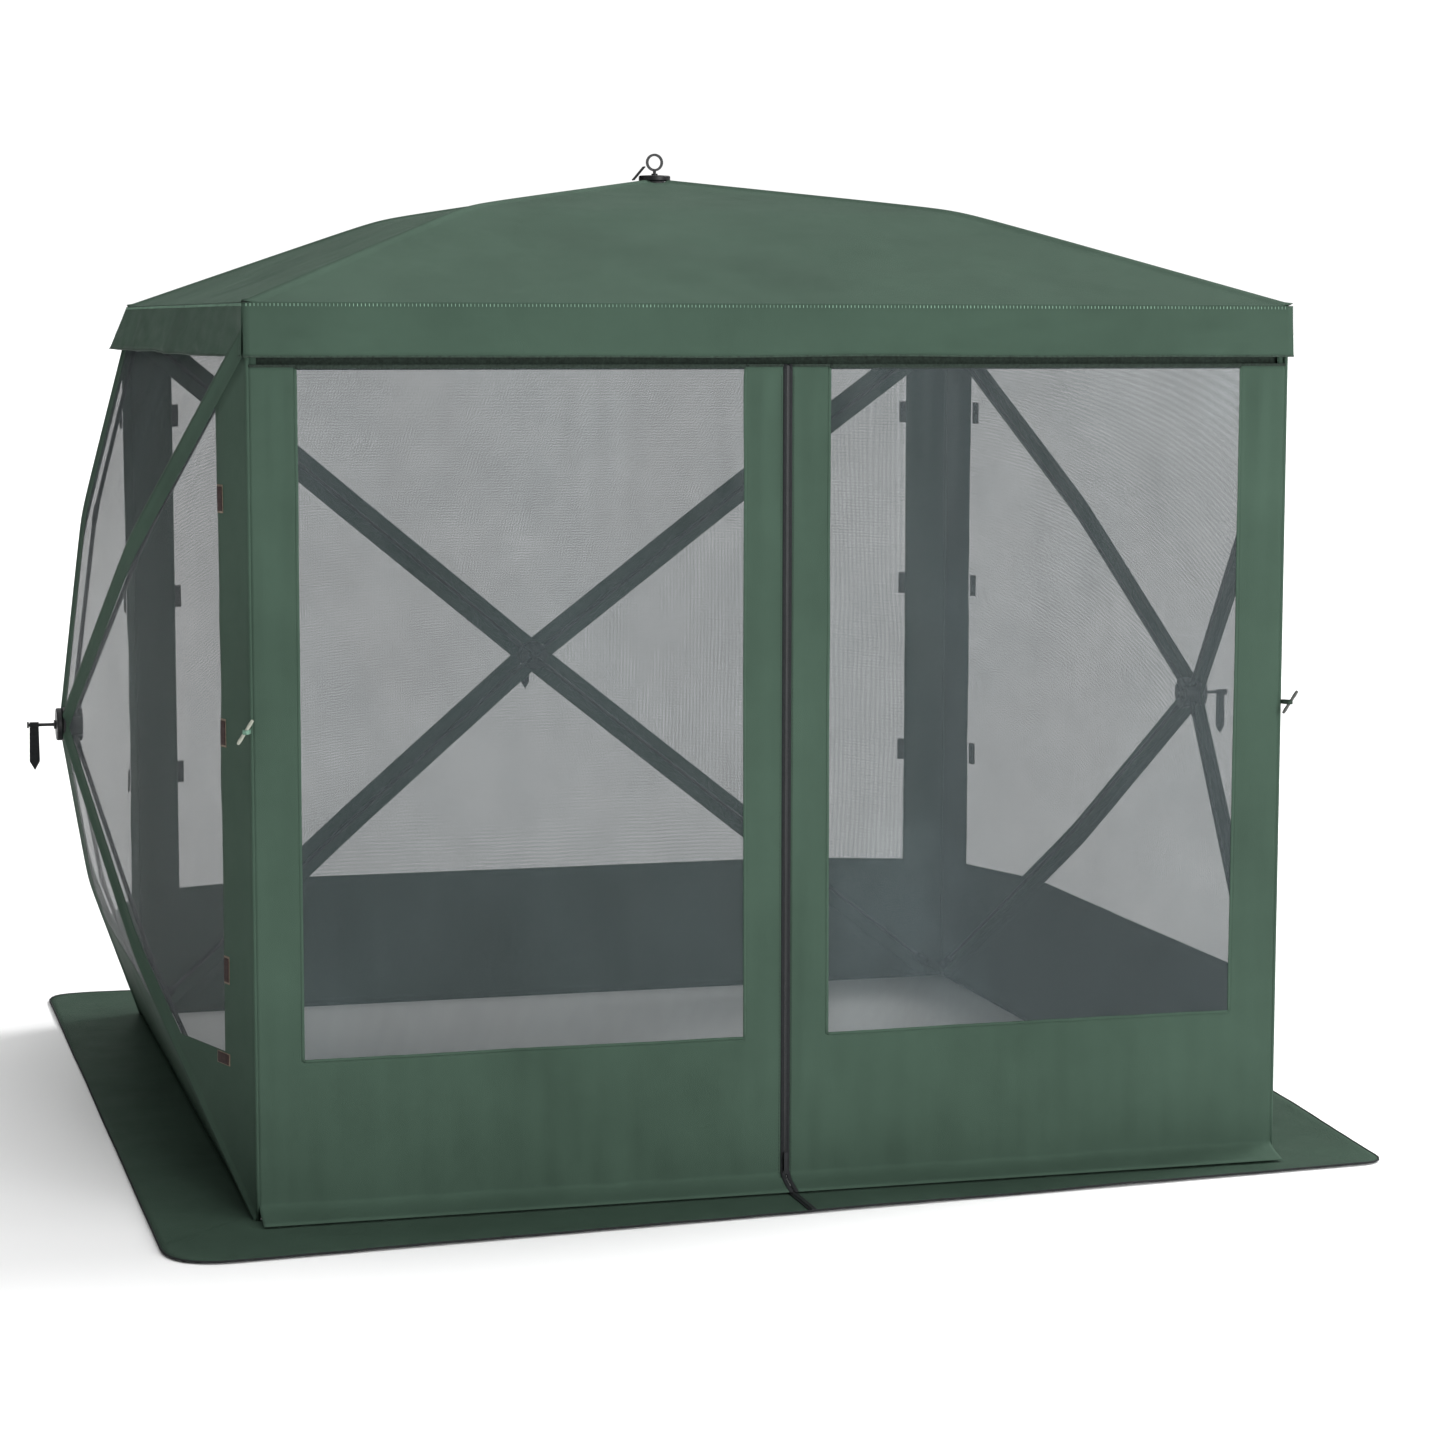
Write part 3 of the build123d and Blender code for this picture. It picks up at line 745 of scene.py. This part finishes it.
def door_surface(side, x, z, raised=0.0):
    """The doors' slack: folds from the top corners, vertical puckers on the strips, a limp hem."""
    top = max(0.0, (z - 0.9) / (DOOR_HIGH[2] - 0.9))
    foot = max(0.0, 1 - z / 0.5)
    pucker = noise.noise(Vector((x * 26, z * 1.7, side * 4.0))) * (0.0016 + 0.0046 * top ** 3)
    folds = noise.noise(Vector(((x + 0.35 * z) * 9, z * 2.0, side * 7.0))) * (0.0012 + 0.0025 * top)
    belly = 0.005 * noise.noise(Vector((x * 2.0, z * 1.4, side * 2.0)))
    crease = 0.0045 * foot * noise.noise(Vector((x * 13, z * 7.0, 3.0 + side)))
    # the slack fades out at the hinge, the zip and the header
    near_hinge, near_zip = (HALF - abs(x)) / 0.03, max(0.0, abs(x) - 0.008) / 0.03
    edge = min(1.0, near_hinge, near_zip, (DOOR_HIGH[2] + 0.002 - z) / 0.06)
    slack = 1.6 * (pucker + folds + belly + crease) * max(0.0, edge)
    # the foot turns outward onto the skirt
    low = max(0.0, 1 - (z - DOOR_FOOT) / FOOT_TURN)
    return Vector((x, FRONT_Y - 0.0006 - raised + slack * (1 - low) - FOOT_FLAP * low * low, z))


def make_door(name):
    """One half of the door wall: cloth round a mesh window, with its half of the zip."""
    sign = -1 if name == "left" else 1
    cloth, net, hem, tape, binding, thread, teeth = (Patchwork() for _ in range(7))
    body = f"door_{name}"
    hinge, centre = abs(DOOR_LOW[0]) + 0.004, 0.0095
    near, far = WINDOW_NEAR, WINDOW_FAR[name]
    hem_low, half = DOOR_HIGH[2] - DOOR_HEM, EDGE_HALF

    def rectangle(work, x0, x1, z0, z1, cols, rows, raised=0.0):
        def point(i, j):
            x, z = x0 + (x1 - x0) * j, z0 + (z1 - z0) * i
            return door_surface(sign, sign * x, z, raised), (x, z)

        work.grid(rows, cols, point, flip=sign > 0)

    across = steps(centre, 14, near, 80, far, 14, hinge)
    up = steps(DOOR_FOOT, 8, DOOR_FOOT + 0.032, 28, BAND_TOP, 110, DOOR_HIGH[2])
    rows = [[(x, z) for x in across] for z in up]
    window_columns, band_rows = range(14, 14 + 80), 8 + 28

    def solid(i, j):
        return not (j in window_columns and i >= band_rows)

    def place(x, z):
        return door_surface(sign, sign * x, z), (x, z)

    cloth.lattice(rows, solid, place)
    rectangle(hem, near, far, hem_low - half, DOOR_HIGH[2], 80, 3, raised=0.0014)
    rectangle(hem, centre, near, hem_low, DOOR_HIGH[2], 8, 3, raised=0.0014)
    rectangle(hem, far, hinge, hem_low, DOOR_HIGH[2], 8, 3, raised=0.0014)
    rectangle(net, near, far, BAND_TOP, hem_low, 60, 90)
    frame_cloth = cloth.make(f"door_cloth_{name}", "door", body, "fabric", thick=CLOTH)
    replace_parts(frame_cloth, f"door_frame_{name}")
    web = net.make(f"door_net_{name}", "net", body, "mesh")
    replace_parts(web, f"door_mesh_{name}")

    # the binding round the window, one narrow tape on each side
    for x0, x1, z0, z1 in (
        (near - half, near + half, BAND_TOP, hem_low), (far - half, far + half, BAND_TOP, hem_low),
        (near, far, BAND_TOP - half, BAND_TOP + half),
    ):
        cols, rows = (2, 120) if z1 - z0 > 0.5 else (90, 2)
        rectangle(binding, x0, x1, z0, z1, cols, rows, raised=0.0007)
    edge = binding.make(f"door_binding_{name}", "window_edge", body, "fabric", thick=0.0004)
    # the top hem strips, dark as painted shade under the valance
    header = hem.make(f"door_header_{name}", "header", body, "fabric", thick=CLOTH)

    # stitches beside the zip
    for k in range(210):
        z = DOOR_FOOT + 0.01 + k * 0.0087
        here = door_surface(sign, sign * 0.0145, z, 0.0010)
        thread.block(here, (X, Z, Y), (0.0006, 0.0026, 0.0004))
    stitches = thread.make(f"door_stitches_{name}", "dark_thread", body, "fabric", smooth=False)

    # zip: woven tape with the coil along its free edge
    def tape_point(i, j):
        x = TAPE[0] + (TAPE[1] - TAPE[0]) * j
        z = DOOR_FOOT + (DOOR_HIGH[2] - DOOR_FOOT) * i
        return door_surface(sign, sign * x, z, 0.0012), (x, z)

    tape.grid(120, 3, tape_point, flip=sign > 0)
    ribbon = tape.make(f"zip_ribbon_{name}", "black_edge", body, "zip", thick=0.0012)
    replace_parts(ribbon, f"zip_tape_{name}")
    # the two sides' teeth alternate
    for k in range(int((DOOR_HIGH[2] - DOOR_FOOT) / ZIP_PITCH) - 1):
        z = DOOR_FOOT + ZIP_PITCH * (k + 0.5 * (sign < 0) + 0.5)
        place = door_surface(sign, sign * 0.0011, z, 0.0014)
        teeth.block(place, (X, Z, Y), (0.0022, 0.0012, 0.0011))
    teeth.make(f"zip_teeth_{name}", "zip", body, "zip", smooth=False)


def make_skirt_zip():
    """The zip's lower end runs on over the skirt."""
    tape, teeth = Patchwork(), Patchwork()
    front, wide, length = MID_Y - 1.425, 0.020, 0.225

    def path(f, x):
        y = FRONT_Y - 0.002 + (front - FRONT_Y) * f
        reach = (FRONT_Y - y) / (FRONT_Y - front)
        return Vector((x, y, skirt_height(x, y, reach) + 0.0018))

    def point(i, j):
        x = wide * (j - 0.5)
        return path(i, x), (x, i * length)

    tape.grid(30, 4, point, flip=True)
    ribbon = tape.make("skirt_zip_tape", "black_edge", "shell", "zip", thick=0.001)
    for k in range(52):
        here = path((k + 0.5) / 52, 0.0)
        teeth.block(here + 0.0010 * Z, (X, Y, Z), (0.0030, 0.0013, 0.0010))
    teeth.make("skirt_zip_teeth", "zip", "shell", "zip", smooth=False)


# ---- tie-backs ------------------------------------------------------------------------
TOGGLE_PROFILE = (  # along the stick, radius
    (-0.031, 0.0018), (-0.030, 0.0034), (-0.020, 0.0042), (0.0, 0.0034), (0.020, 0.0042), (0.030, 0.0034),
    (0.031, 0.0018),
)
TOGGLE_SIDES = 14
LOOP_WIDTH, LOOP_LENGTH = 0.010, 0.070


def make_toggle(name, sign, stick_material, loop_material):
    """A turned stick through a sewn loop, at a front corner of the tent."""
    low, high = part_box("tie_back_toggles")
    root = Vector((sign * (HALF + 0.002), FRONT_Y - 0.002, (low[2] + high[2]) / 2))
    out = Vector((sign * 0.55, -0.83, 0)).normalized()
    stick, loop = Patchwork(), Patchwork()
    axis = Vector((0.52, -0.10, 0.85)).normalized()
    centre = root + out * 0.024
    profile, sides = TOGGLE_PROFILE, TOGGLE_SIDES
    side = axis.cross(Z).normalized()
    up = side.cross(axis)
    for along, radius in profile:
        for k in range(sides):
            angle = 2 * math.pi * k / sides
            spoke = math.cos(angle) * side + math.sin(angle) * up
            stick.verts.append(centre + axis * along + radius * spoke)
            stick.uvs.append((k * 0.001, along))
    for i in range(len(profile) - 1):
        for k in range(sides):
            a, b = i * sides + k, i * sides + (k + 1) % sides
            stick.faces.append((a, b, b + sides, a + sides))
    stick.faces.append(tuple(reversed(range(sides))))
    stick.faces.append(tuple((len(profile) - 1) * sides + k for k in range(sides)))
    piece = stick.make(f"toggle_stick_{name}", stick_material, "shell", "toggle")
    # a flat loop: out from the seam, round the stick and back
    span = Vector((-out.y, out.x, 0))
    course = []
    for k in range(25):
        angle = math.pi * (k / 24 - 0.5)
        course.append(root + out * (0.022 + 0.007 * math.cos(angle)) + span * 0.0065 * math.sin(angle))
    course = [root + span * -0.002] + course + [root + span * 0.002]

    def point(i, j):
        position = i * (len(course) - 1)
        k = min(int(position), len(course) - 2)
        place = course[k].lerp(course[k + 1], position - k)
        return place + Z * LOOP_WIDTH * (j - 0.5), (LOOP_WIDTH * j, LOOP_LENGTH * i)

    loop.grid(52, 3, point)
    tab = loop.make(f"toggle_loop_{name}", loop_material, "shell", "toggle", thick=0.0014)
    return piece


# ---- hook-and-loop patches, which hold the folded tent's covers -------------------------------
PATCH_HALF = (0.031, 0.0135)  # half length, half width
PATCH_HEIGHTS = {"front": (1.578, 1.067, 0.541), "rear": (1.698, 1.190, 0.690)}


def make_patches():
    """Small patches sewn beside the windows; each lies on its own panel."""
    heights, low = PATCH_HEIGHTS, BAND_TOP - 0.016 - HALF_WALL
    places = []
    for name in ("left", "right"):
        face = FACES[name]
        for end, sign in (("front", -1), ("rear", 1)):
            for z in heights[end]:
                places.append((name, face.across.y * sign * (HALF - 0.135), z - HALF_WALL, True))
            places.append((name, face.across.y * sign * (HALF - 0.155), low, False))
    for sign in (-1, 1):
        for z in heights["rear"]:
            places.append(("back", sign * (HALF - 0.120), z - HALF_WALL, True))
        places.append(("back", sign * (HALF - 0.19), low, False))
    for index, (name, u, v, upright) in enumerate(places):
        face = FACES[name]
        fabric, border = Patchwork(), Patchwork()
        wide, tall = reversed(PATCH_HALF) if upright else PATCH_HALF
        for work, grow, raised in ((border, 1.0, 0.0012), (fabric, 0.86, 0.0021)):

            def point(i, j):
                du, dv = wide * grow * (2 * j - 1), tall * grow * (2 * i - 1)
                return face.point(u + du, v + dv, raised), (du, dv)

            work.grid(4, 4, point)
        body = patch_body(face, u, v)
        rim = border.make(f"patch_rim_{index}", "hook_edge", body, "webbing", thick=0.0008)
        pad = fabric.make(f"patch_{index}", "hook", body, "webbing", thick=0.0012)


def patch_body(face, u, v):
    """The panel of the face that a point lies on."""
    across, along = abs(u) / HALF, abs(v) / face.half_height
    for side, (ax, ay) in SIDES[face.name].items():
        if (across > along and ax * u > 0) or (across <= along and ay * v > 0):
            return f"{face.name}_panel_{side}"


# ---- materials of the CAD nodes that stay -----------------------------------------
def dress(node, material, bevel=0.0):
    """Give a CAD node its material and, where it is moulded, rounded edges."""
    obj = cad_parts[node]
    obj.data.materials.clear()
    obj.data.materials.append(MAT[material])
    if bevel:
        rounding = obj.modifiers.new("edges", "BEVEL")
        rounding.width = bevel
        rounding.segments = 2
        rounding.limit_method = "ANGLE"


for name in FACES:
    dress(f"{name}_hub_body", "hub", 0.0008)
    dress(f"{name}_hub_cap", "hub", 0.0008)
    dress(f"{name}_hub_pins", "steel")
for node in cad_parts:
    if "_pole_" in node:
        dress(node, "pole")
dress("pole_pockets", "webbing", 0.0005)
dress("zip_slider", "zip_metal", 0.0006)
for name in FACES:
    dress(f"{name}_pull_strap", "webbing", 0.0004)


# ---- camera, floor and light --------------------------------------------------
CAMERA_PLACE = (-2.1934, -8.6402 + MID_Y, 1.9562)
CAMERA_YAW, CAMERA_PITCH, CAMERA_ROLL = 0.2680, -0.1139, -0.0019  # radians; yaw to the right
LENS = 86.76
FLOOR_HALF = 600  # wide enough to reach the horizon


def make_camera():
    camera = bpy.data.cameras.new("camera")
    camera.sensor_width = 36.0
    camera.lens = LENS
    camera.clip_end = 1000
    obj = bpy.data.objects.new("camera", camera)
    bpy.context.scene.collection.objects.link(obj)
    obj.location = CAMERA_PLACE
    obj.rotation_euler = (math.pi / 2 + CAMERA_PITCH, CAMERA_ROLL, -CAMERA_YAW)
    bpy.context.scene.camera = obj


def make_stage():
    """A white floor."""
    corners = [(FLOOR_HALF * x, FLOOR_HALF * y, 0) for x, y in ((-1, -1), (1, -1), (1, 1), (-1, 1))]
    mesh = bpy.data.meshes.new("floor")
    mesh.from_pydata(corners, [], [(0, 1, 2, 3)])
    floor = bpy.data.objects.new("floor", mesh)
    bpy.context.scene.collection.objects.link(floor)
    mat, _, shader = new_material("pale_floor")
    shader.inputs["Base Color"].default_value = (0.93, 0.93, 0.93, 1)
    shader.inputs["Roughness"].default_value = 0.9
    shader.inputs["Specular IOR Level"].default_value = 0.1
    mesh.materials.append(mat)


def make_panel_light(name, place, target, size, energy):
    """A square studio lamp that faces its target."""
    light = bpy.data.lights.new(name, "AREA")
    light.shape = "SQUARE"
    light.size = size
    light.energy = energy
    obj = bpy.data.objects.new(name, light)
    bpy.context.scene.collection.objects.link(obj)
    obj.location = place
    obj.rotation_euler = (Vector(target) - Vector(place)).to_track_quat("-Z", "Y").to_euler()


def make_sun(name, towards, strength, spread):
    """A distant studio lamp; towards points from the tent to the lamp."""
    light = bpy.data.lights.new(name, "SUN")
    light.energy = strength * math.pi
    light.angle = math.radians(spread)
    obj = bpy.data.objects.new(name, light)
    bpy.context.scene.collection.objects.link(obj)
    obj.rotation_euler = Vector(towards).to_track_quat("Z", "Y").to_euler()


def make_lights():
    """A key from the right, a low lamp in front, and a world that is white behind and overhead."""
    make_sun("key_right", (0.90, 0.32, 0.95), 0.85, 22)
    make_sun("front", (0.34, -0.92, 0.17), 0.62, 40)
    make_panel_light("front_right", (3.4, MID_Y - 5.8, 1.7), (0.6, FRONT_Y, 1.0), 2.0, 130)
    world = bpy.data.worlds.new("studio")
    world.use_nodes = True
    tree = world.node_tree
    background = tree.nodes["Background"]
    # white in a cone behind the tent
    coords = tree.nodes.new("ShaderNodeTexCoord")
    aim = add_node(tree, "ShaderNodeVectorMath")
    aim.operation = "DOT_PRODUCT"
    aim.inputs[1].default_value = (0.265, 0.958, -0.11)
    tree.links.new(coords.outputs["Generated"], aim.inputs[0])
    behind = ramp(tree, aim.outputs["Value"], [(0.935, (0, 0, 0)), (0.957, (0.70, 0.70, 0.70))])
    split = tree.nodes.new("ShaderNodeSeparateXYZ")
    tree.links.new(coords.outputs["Generated"], split.inputs[0])
    # a softbox overhead, with less light from the left
    overhead = ramp(tree, split.outputs["Z"], [(0.25, (0.09, 0.09, 0.09)), (0.78, (1, 1, 1))])
    leftward = math_node(tree, "MULTIPLY", split.outputs["X"], -1)
    shade = ramp(tree, leftward, [(0.0, (1, 1, 1)), (0.65, (0.40, 0.40, 0.40))])
    overhead = math_node(tree, "MULTIPLY", overhead, shade)
    tree.links.new(math_node(tree, "MAXIMUM", behind, overhead), background.inputs["Color"])
    background.inputs["Strength"].default_value = 1.5
    bpy.context.scene.world = world
    bpy.context.scene.view_settings.view_transform = "Standard"


make_valance()
make_binding()
make_skirt()
make_door("left")
make_door("right")
make_skirt_zip()
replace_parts(make_toggle("left", -1, "toggle", "loop"), "tie_back_toggles")
make_toggle("right", 1, "toggle_dark", "loop_dark")
make_patches()
make_camera()
make_stage()
make_lights()
